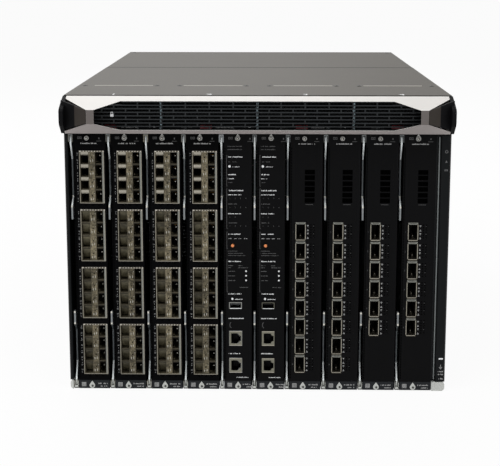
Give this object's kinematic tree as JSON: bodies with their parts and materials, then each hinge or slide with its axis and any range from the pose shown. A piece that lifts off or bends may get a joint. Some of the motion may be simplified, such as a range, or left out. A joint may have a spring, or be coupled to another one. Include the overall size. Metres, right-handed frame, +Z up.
{
  "type": "modular chassis switch",
  "caption": "Rack-mount modular chassis switch: upright slide-in cards with ejector levers, a silver bezel over the power supplies, and rear fan trays.",
  "frame": {"origin": "centre of the chassis' bottom face", "axes": "+Z up, the card side faces -Y, +X to the right as seen from the front"},
  "size_m": [0.442, 0.663, 0.3511],
  "materials": {
    "chassis_paint": "satin dark grey paint",
    "cover_paint": "fine-grained warm grey paint",
    "screw_steel": "blackened",
    "guide_plastic": "matte",
    "circuit_board": "green solder mask",
    "inlet_plastic": "matte black",
    "silver_metal": "satin silver",
    "bezel_plastic": "silver lacquer",
    "grille_plastic": "satin black",
    "supply_steel": "zinc-plated",
    "tray_steel": "satin black paint",
    "rotor_plastic": "matte black",
    "module_steel": "zinc-plated",
    "button_plastic": "amber, clear",
    "lever_metal": "satin",
    "card_paint": "satin black paint"
  },
  "bodies": {
    "chassis": {"chassis_shell": "chassis_paint", "front_cover": "cover_paint", "rear_cover": "cover_paint", "cover_screws": "screw_steel", "bay_shelf": "chassis_paint", "card_guides": "guide_plastic", "midplane": "circuit_board", "power_backplane": "circuit_board", "rear_frame": "chassis_paint", "power_inlets": "inlet_plastic", "front_sill": "silver_metal", "left_trim": "chassis_paint", "right_trim": "chassis_paint"},
    "bezel": {"bezel_frame": "bezel_plastic", "bezel_grille": "grille_plastic"},
    "power_supply_1": {"power_supply_1": "supply_steel"},
    "power_supply_2": {"power_supply_2": "supply_steel"},
    "power_supply_3": {"power_supply_3": "supply_steel"},
    "power_supply_4": {"power_supply_4": "supply_steel"},
    "fan_tray_1": {"fan_tray_1": "tray_steel", "fan_rotors_1": "rotor_plastic"},
    "fabric_module_1": {"fabric_module_1": "module_steel"},
    "fan_tray_2": {"fan_tray_2": "tray_steel", "fan_rotors_2": "rotor_plastic"},
    "fabric_module_2": {"fabric_module_2": "module_steel"},
    "fan_tray_3": {"fan_tray_3": "tray_steel", "fan_rotors_3": "rotor_plastic"},
    "fabric_module_3": {"fabric_module_3": "module_steel"},
    "line_card_1": {"line_card_1": "card_paint"},
    "line_card_1_lower_lever": {"line_card_1_lower_lever": "lever_metal"},
    "line_card_1_upper_lever": {"line_card_1_upper_lever": "lever_metal"},
    "line_card_2": {"line_card_2": "card_paint"},
    "line_card_2_lower_lever": {"line_card_2_lower_lever": "lever_metal"},
    "line_card_2_upper_lever": {"line_card_2_upper_lever": "lever_metal"},
    "line_card_3": {"line_card_3": "card_paint"},
    "line_card_3_lower_lever": {"line_card_3_lower_lever": "lever_metal"},
    "line_card_3_upper_lever": {"line_card_3_upper_lever": "lever_metal"},
    "line_card_4": {"line_card_4": "card_paint"},
    "line_card_4_lower_lever": {"line_card_4_lower_lever": "lever_metal"},
    "line_card_4_upper_lever": {"line_card_4_upper_lever": "lever_metal"},
    "manager_card_1": {"manager_card_1": "card_paint"},
    "manager_card_1_lower_lever": {"manager_card_1_lower_lever": "lever_metal"},
    "manager_card_1_upper_lever": {"manager_card_1_upper_lever": "lever_metal"},
    "mode_button_1": {"mode_button_1": "button_plastic"},
    "manager_card_2": {"manager_card_2": "card_paint"},
    "manager_card_2_lower_lever": {"manager_card_2_lower_lever": "lever_metal"},
    "manager_card_2_upper_lever": {"manager_card_2_upper_lever": "lever_metal"},
    "mode_button_2": {"mode_button_2": "button_plastic"},
    "line_card_5": {"line_card_5": "card_paint"},
    "line_card_5_lower_lever": {"line_card_5_lower_lever": "lever_metal"},
    "line_card_5_upper_lever": {"line_card_5_upper_lever": "lever_metal"},
    "line_card_6": {"line_card_6": "card_paint"},
    "line_card_6_lower_lever": {"line_card_6_lower_lever": "lever_metal"},
    "line_card_6_upper_lever": {"line_card_6_upper_lever": "lever_metal"},
    "line_card_7": {"line_card_7": "card_paint"},
    "line_card_7_lower_lever": {"line_card_7_lower_lever": "lever_metal"},
    "line_card_7_upper_lever": {"line_card_7_upper_lever": "lever_metal"},
    "line_card_8": {"line_card_8": "card_paint"},
    "line_card_8_lower_lever": {"line_card_8_lower_lever": "lever_metal"},
    "line_card_8_upper_lever": {"line_card_8_upper_lever": "lever_metal"}
  },
  "joints": [
    {"name": "bezel_slide", "type": "slide", "parent": "chassis", "child": "bezel", "axis": [0, -1, 0], "range_m": [0, 0.36]},
    {"name": "power_supply_1_slide", "type": "slide", "parent": "chassis", "child": "power_supply_1", "axis": [0, -1, 0], "range_m": [0, 0.324]},
    {"name": "power_supply_2_slide", "type": "slide", "parent": "chassis", "child": "power_supply_2", "axis": [0, -1, 0], "range_m": [0, 0.324]},
    {"name": "power_supply_3_slide", "type": "slide", "parent": "chassis", "child": "power_supply_3", "axis": [0, -1, 0], "range_m": [0, 0.324]},
    {"name": "power_supply_4_slide", "type": "slide", "parent": "chassis", "child": "power_supply_4", "axis": [0, -1, 0], "range_m": [0, 0.324]},
    {"name": "fan_tray_1_slide", "type": "slide", "parent": "chassis", "child": "fan_tray_1", "axis": [0, 1, 0], "range_m": [0, 0.29]},
    {"name": "fabric_module_1_slide", "type": "slide", "parent": "chassis", "child": "fabric_module_1", "axis": [0, 1, 0], "range_m": [0, 0.261]},
    {"name": "fan_tray_2_slide", "type": "slide", "parent": "chassis", "child": "fan_tray_2", "axis": [0, 1, 0], "range_m": [0, 0.29]},
    {"name": "fabric_module_2_slide", "type": "slide", "parent": "chassis", "child": "fabric_module_2", "axis": [0, 1, 0], "range_m": [0, 0.261]},
    {"name": "fan_tray_3_slide", "type": "slide", "parent": "chassis", "child": "fan_tray_3", "axis": [0, 1, 0], "range_m": [0, 0.29]},
    {"name": "fabric_module_3_slide", "type": "slide", "parent": "chassis", "child": "fabric_module_3", "axis": [0, 1, 0], "range_m": [0, 0.261]},
    {"name": "line_card_1_slide", "type": "slide", "parent": "chassis", "child": "line_card_1", "axis": [0, -1, 0], "range_m": [0, 0.34]},
    {"name": "line_card_1_lower_lever_pivot", "type": "hinge", "parent": "line_card_1", "child": "line_card_1_lower_lever", "pos_m": [-0.2139, -0.2995, 0.0065], "axis": [1, 0, 0], "range_deg": [0, 65]},
    {"name": "line_card_1_upper_lever_pivot", "type": "hinge", "parent": "line_card_1", "child": "line_card_1_upper_lever", "pos_m": [-0.2139, -0.2995, 0.301], "axis": [-1, 0, 0], "range_deg": [0, 65]},
    {"name": "line_card_2_slide", "type": "slide", "parent": "chassis", "child": "line_card_2", "axis": [0, -1, 0], "range_m": [0, 0.34]},
    {"name": "line_card_2_lower_lever_pivot", "type": "hinge", "parent": "line_card_2", "child": "line_card_2_lower_lever", "pos_m": [-0.1707, -0.2995, 0.0065], "axis": [1, 0, 0], "range_deg": [0, 65]},
    {"name": "line_card_2_upper_lever_pivot", "type": "hinge", "parent": "line_card_2", "child": "line_card_2_upper_lever", "pos_m": [-0.1707, -0.2995, 0.301], "axis": [-1, 0, 0], "range_deg": [0, 65]},
    {"name": "line_card_3_slide", "type": "slide", "parent": "chassis", "child": "line_card_3", "axis": [0, -1, 0], "range_m": [0, 0.34]},
    {"name": "line_card_3_lower_lever_pivot", "type": "hinge", "parent": "line_card_3", "child": "line_card_3_lower_lever", "pos_m": [-0.1275, -0.2995, 0.0065], "axis": [1, 0, 0], "range_deg": [0, 65]},
    {"name": "line_card_3_upper_lever_pivot", "type": "hinge", "parent": "line_card_3", "child": "line_card_3_upper_lever", "pos_m": [-0.1275, -0.2995, 0.301], "axis": [-1, 0, 0], "range_deg": [0, 65]},
    {"name": "line_card_4_slide", "type": "slide", "parent": "chassis", "child": "line_card_4", "axis": [0, -1, 0], "range_m": [0, 0.34]},
    {"name": "line_card_4_lower_lever_pivot", "type": "hinge", "parent": "line_card_4", "child": "line_card_4_lower_lever", "pos_m": [-0.0843, -0.2995, 0.0065], "axis": [1, 0, 0], "range_deg": [0, 65]},
    {"name": "line_card_4_upper_lever_pivot", "type": "hinge", "parent": "line_card_4", "child": "line_card_4_upper_lever", "pos_m": [-0.0843, -0.2995, 0.301], "axis": [-1, 0, 0], "range_deg": [0, 65]},
    {"name": "manager_card_1_slide", "type": "slide", "parent": "chassis", "child": "manager_card_1", "axis": [0, -1, 0], "range_m": [0, 0.34]},
    {"name": "manager_card_1_lower_lever_pivot", "type": "hinge", "parent": "manager_card_1", "child": "manager_card_1_lower_lever", "pos_m": [-0.0411, -0.2995, 0.0065], "axis": [1, 0, 0], "range_deg": [0, 65]},
    {"name": "manager_card_1_upper_lever_pivot", "type": "hinge", "parent": "manager_card_1", "child": "manager_card_1_upper_lever", "pos_m": [-0.0411, -0.2995, 0.301], "axis": [-1, 0, 0], "range_deg": [0, 65]},
    {"name": "mode_button_1_press", "type": "slide", "parent": "manager_card_1", "child": "mode_button_1", "axis": [0, 1, 0], "range_m": [0, 0.001], "stiffness_N_per_m": 400, "springref_m": -0.0005},
    {"name": "manager_card_2_slide", "type": "slide", "parent": "chassis", "child": "manager_card_2", "axis": [0, -1, 0], "range_m": [0, 0.34]},
    {"name": "manager_card_2_lower_lever_pivot", "type": "hinge", "parent": "manager_card_2", "child": "manager_card_2_lower_lever", "pos_m": [-0.00295, -0.2995, 0.0065], "axis": [1, 0, 0], "range_deg": [0, 65]},
    {"name": "manager_card_2_upper_lever_pivot", "type": "hinge", "parent": "manager_card_2", "child": "manager_card_2_upper_lever", "pos_m": [-0.00295, -0.2995, 0.301], "axis": [-1, 0, 0], "range_deg": [0, 65]},
    {"name": "mode_button_2_press", "type": "slide", "parent": "manager_card_2", "child": "mode_button_2", "axis": [0, 1, 0], "range_m": [0, 0.001], "stiffness_N_per_m": 400, "springref_m": -0.0005},
    {"name": "line_card_5_slide", "type": "slide", "parent": "chassis", "child": "line_card_5", "axis": [0, -1, 0], "range_m": [0, 0.34]},
    {"name": "line_card_5_lower_lever_pivot", "type": "hinge", "parent": "line_card_5", "child": "line_card_5_lower_lever", "pos_m": [0.0352, -0.2995, 0.0065], "axis": [1, 0, 0], "range_deg": [0, 65]},
    {"name": "line_card_5_upper_lever_pivot", "type": "hinge", "parent": "line_card_5", "child": "line_card_5_upper_lever", "pos_m": [0.0352, -0.2995, 0.301], "axis": [-1, 0, 0], "range_deg": [0, 65]},
    {"name": "line_card_6_slide", "type": "slide", "parent": "chassis", "child": "line_card_6", "axis": [0, -1, 0], "range_m": [0, 0.34]},
    {"name": "line_card_6_lower_lever_pivot", "type": "hinge", "parent": "line_card_6", "child": "line_card_6_lower_lever", "pos_m": [0.0784, -0.2995, 0.0065], "axis": [1, 0, 0], "range_deg": [0, 65]},
    {"name": "line_card_6_upper_lever_pivot", "type": "hinge", "parent": "line_card_6", "child": "line_card_6_upper_lever", "pos_m": [0.0784, -0.2995, 0.301], "axis": [-1, 0, 0], "range_deg": [0, 65]},
    {"name": "line_card_7_slide", "type": "slide", "parent": "chassis", "child": "line_card_7", "axis": [0, -1, 0], "range_m": [0, 0.34]},
    {"name": "line_card_7_lower_lever_pivot", "type": "hinge", "parent": "line_card_7", "child": "line_card_7_lower_lever", "pos_m": [0.1216, -0.2995, 0.0065], "axis": [1, 0, 0], "range_deg": [0, 65]},
    {"name": "line_card_7_upper_lever_pivot", "type": "hinge", "parent": "line_card_7", "child": "line_card_7_upper_lever", "pos_m": [0.1216, -0.2995, 0.301], "axis": [-1, 0, 0], "range_deg": [0, 65]},
    {"name": "line_card_8_slide", "type": "slide", "parent": "chassis", "child": "line_card_8", "axis": [0, -1, 0], "range_m": [0, 0.34]},
    {"name": "line_card_8_lower_lever_pivot", "type": "hinge", "parent": "line_card_8", "child": "line_card_8_lower_lever", "pos_m": [0.1648, -0.2995, 0.0065], "axis": [1, 0, 0], "range_deg": [0, 65]},
    {"name": "line_card_8_upper_lever_pivot", "type": "hinge", "parent": "line_card_8", "child": "line_card_8_upper_lever", "pos_m": [0.1648, -0.2995, 0.301], "axis": [-1, 0, 0], "range_deg": [0, 65]}
  ],
  "couplings": [
    {"joint": "power_supply_1_slide", "follows": "bezel_slide", "ratio": 0.9},
    {"joint": "power_supply_2_slide", "follows": "bezel_slide", "ratio": 0.9},
    {"joint": "power_supply_3_slide", "follows": "bezel_slide", "ratio": 0.9},
    {"joint": "power_supply_4_slide", "follows": "bezel_slide", "ratio": 0.9},
    {"joint": "fabric_module_1_slide", "follows": "fan_tray_1_slide", "ratio": 0.9},
    {"joint": "fabric_module_2_slide", "follows": "fan_tray_2_slide", "ratio": 0.9},
    {"joint": "fabric_module_3_slide", "follows": "fan_tray_3_slide", "ratio": 0.9}
  ]
}
